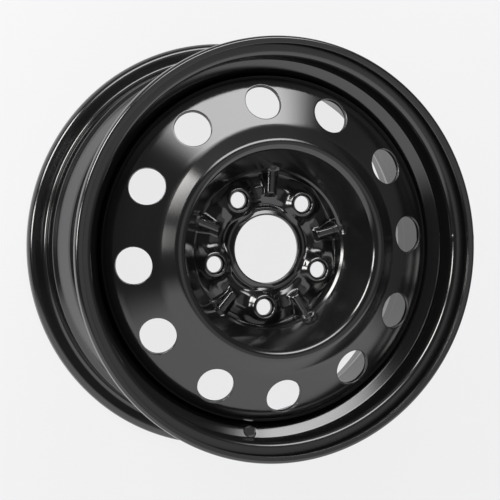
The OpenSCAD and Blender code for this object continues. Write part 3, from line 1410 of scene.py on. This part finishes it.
@dataclass
class Studio:
    """Floor, lights, backdrop colour and camera."""

    floor_z: float = field(default_factory=lambda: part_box("rim")[0].z)
    floor_half: float = 0.8
    floor_shine: float = 0.86
    white: tuple[float, float, float, float] = (0.93, 0.93, 0.94, 1.0)
    plain_white: tuple[float, float, float] = (1.0, 0.985, 1.0)
    warm_white: tuple[float, float, float] = (1.0, 0.985, 0.96)
    camera_place: tuple[float, float, float] = (-0.7951, 0.0859, 2.0646)
    tilt_deg: float = 2.26
    turn_deg: float = 20.73
    lens: float = 161.4

    def build(self) -> None:
        """Makes the stage and the camera."""
        self._floor()
        self._world()
        for box in (
            Softbox("softbox_top", place=(0.14, 1.05, 0.91), size=(1.6, 0.66), level=6.2,
                    colour=self.plain_white, edge=0.28, roll_deg=14.0),
            Softbox("softbox_left_high", place=(-1.008, 0.773, 0.587), size=(0.8, 0.5), level=13.0,
                    colour=self.warm_white, edge=0.22),
            Softbox("softbox_left_low", place=(-1.261, 0.155, 0.587), size=(0.4, 0.5), level=13.0,
                    colour=self.warm_white, edge=0.22),
        ):
            box.build()
        self._camera()

    def _floor(self) -> None:
        """A pale floor that stays white to the camera and keeps the wheel's soft shadow."""
        mesh = bpy.data.meshes.new("floor")
        half = self.floor_half
        around = ((-half, -half), (half, -half), (half, half), (-half, half))
        mesh.from_pydata([(x, y, self.floor_z) for x, y in around], [], [(0, 1, 2, 3)])
        floor = bpy.data.objects.new("floor", mesh)
        bpy.context.scene.collection.objects.link(floor)
        material = bpy.data.materials.new("floor_white")
        n = empty_tree(material)
        path = n.add("ShaderNodeLightPath")
        seen = n.math("MAXIMUM", path.outputs["Is Camera Ray"],
                      n.math("MAXIMUM", path.outputs["Is Glossy Ray"], path.outputs["Is Transmission Ray"]))
        plain = n.add("ShaderNodeBsdfDiffuse", {"Color": (0.8, 0.8, 0.8, 1.0)})
        glow = n.add("ShaderNodeEmission", {"Color": self.white, "Strength": 1.0})
        share = n.math("MULTIPLY", seen, self.floor_shine)
        mix = n.add("ShaderNodeMixShader", {0: share, 1: plain.outputs[0], 2: glow.outputs[0]})
        n.end("ShaderNodeOutputMaterial", mix.outputs[0])
        mesh.materials.append(material)

    def _world(self) -> None:
        """A dark room in front of the wheel, a lit studio floor below it, and white to the camera."""
        world = bpy.data.worlds.new("studio")
        bpy.context.scene.world = world
        n = empty_tree(world)
        way = n.add("ShaderNodeTexCoord").outputs["Generated"]
        x, y, _ = n.add("ShaderNodeSeparateXYZ", {0: way}).outputs
        table = n.ramp(y, -0.28, -0.44, 0.07, 1.0)
        ahead = n.add("ShaderNodeVectorMath", {0: way, 1: (0.36, -0.04, 0.93)}, operation="DOT_PRODUCT")
        ceiling = n.ramp(ahead.outputs["Value"], 0.86, 0.985, 0.0, 0.36)
        right = n.ramp(x, 0.6, 0.9, 0.0, 0.09)
        above = n.ramp(y, 0.6, 0.85, 0.0, 0.12)
        level = n.math("ADD", n.math("ADD", table, ceiling), n.math("ADD", right, above))
        room = n.add("ShaderNodeCombineColor", {0: level, 1: level, 2: level})
        path = n.add("ShaderNodeLightPath")
        colour = n.add("ShaderNodeMix", {0: path.outputs["Is Camera Ray"], 6: room.outputs[0],
                                         7: self.white}, data_type="RGBA")
        glow = n.add("ShaderNodeBackground", {0: colour.outputs[2], 1: 1.0})
        n.end("ShaderNodeOutputWorld", glow.outputs[0])

    def _camera(self) -> None:
        """The photograph's own view, worked out from the wheel's circles."""
        data = bpy.data.cameras.new("camera")
        data.sensor_width = 36.0
        data.lens = self.lens
        data.clip_start, data.clip_end = 0.05, 50.0
        camera = bpy.data.objects.new("camera", data)
        bpy.context.scene.collection.objects.link(camera)
        about_x = Matrix.Rotation(math.radians(self.tilt_deg), 4, "X")
        about_y = Matrix.Rotation(math.radians(self.turn_deg), 4, "Y")
        camera.matrix_world = Matrix.Translation(self.camera_place) @ (about_x @ about_y).transposed()
        bpy.context.scene.camera = camera


def main() -> None:
    """Builds the wheel's pieces in order, then the studio round them."""
    logging.basicConfig(level=logging.INFO, format="%(message)s")
    scene = bpy.context.scene
    scene.view_settings.view_transform = "Standard"
    textures = {kind: kind.build() for kind in Texture}
    rim_coat = BlackDip("rim_black", knurl=0.05).build(textures)
    disc_coat = BlackDip("disc_black", lines=500.0).build(textures)
    weld_coat = BlackDip("weld_black", roughness=0.24, peel=0.01).build(textures)
    disc = Disc(disc_coat)
    welds = Welds(weld_coat, (disc.skirt_r, disc.skirt_z))
    for piece in (Rim(rim_coat).build(), disc.build(), *welds.build()):
        log.info("%s: %d faces", piece.name, len(piece.data.polygons))
    Studio().build()


if __name__ == "__main__":
    main()
